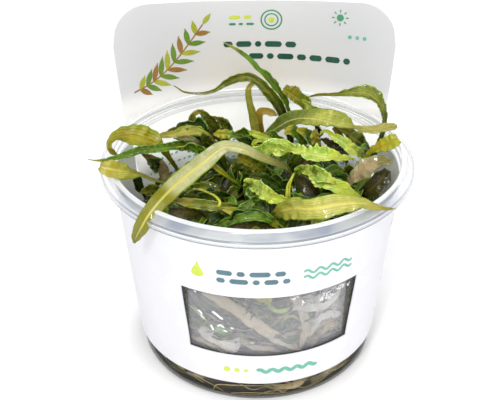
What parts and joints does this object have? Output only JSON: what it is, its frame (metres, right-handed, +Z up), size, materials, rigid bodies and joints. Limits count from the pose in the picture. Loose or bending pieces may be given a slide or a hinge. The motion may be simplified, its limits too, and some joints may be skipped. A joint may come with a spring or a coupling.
{
  "type": "aquarium plant tissue culture cup",
  "caption": "Clear plastic in-vitro cup with a windowed card sleeve and tall header card, packed with long wavy-edged aquarium plant leaves over a mat of roots.",
  "frame": {"origin": "centre of the cup's flat underside", "axes": "+Z up along the cup's axis, the sleeve's window facing -Y and the header card standing at +Y, +X to the right seen from the front"},
  "size_m": [0.1048, 0.1025, 0.1038],
  "materials": {
    "clear_plastic": "clear, thin-walled, glossy",
    "white_card": null,
    "root_mass": "wet tangled roots",
    "inner_leaf_mass": "packed wet leaves",
    "pale_leaf": "moist leaf, satin",
    "green_leaf": "moist leaf, satin",
    "olive_leaf": "moist leaf, satin",
    "dark_leaf": "moist leaf, satin",
    "grey_leaf": "moist leaf, satin",
    "yellow_stalk": "moist stalk, satin"
  },
  "bodies": {
    "root": {"cup": "clear_plastic", "card_sleeve": "white_card", "roots": "root_mass", "inner_leaves": "inner_leaf_mass", "leaf_strap": "pale_leaf", "leaf_left_crisped": "green_leaf", "leaf_left_olive": "olive_leaf", "leaf_left_broad": "pale_leaf", "leaf_arch_tall": "olive_leaf", "leaf_arch_inner": "olive_leaf", "leaf_diagonal": "green_leaf", "leaf_back_crisped": "green_leaf", "leaf_arch_right": "olive_leaf", "leaf_veined": "olive_leaf", "leaf_dark_droop": "dark_leaf", "leaf_right_broad": "olive_leaf", "leaf_right_grey": "grey_leaf", "leaf_right_dark": "dark_leaf", "leaf_bright_upper": "green_leaf", "leaf_bright_lower": "green_leaf", "leaf_front_twisted": "pale_leaf", "leaf_front_pale": "green_leaf", "stalk_loop": "yellow_stalk", "leaf_front_olive": "olive_leaf", "leaf_front_arch": "green_leaf", "leaf_curled": "dark_leaf", "leaf_back_pale": "pale_leaf", "leaf_left_grey": "grey_leaf", "leaf_orange": "olive_leaf", "stalk_upright": "yellow_stalk", "leaf_dark_right": "green_leaf", "stalk_olive": "olive_leaf", "leaf_dark_centre": "dark_leaf", "leaf_dark_crisped": "dark_leaf", "leaf_front_brown": "olive_leaf", "leaf_front_low": "dark_leaf", "leaf_dark_left": "dark_leaf", "leaf_upright_left": "dark_leaf", "leaf_left_low": "olive_leaf", "leaf_centre_crisped": "green_leaf", "leaf_centre_bright": "green_leaf"}
  },
  "joints": []
}
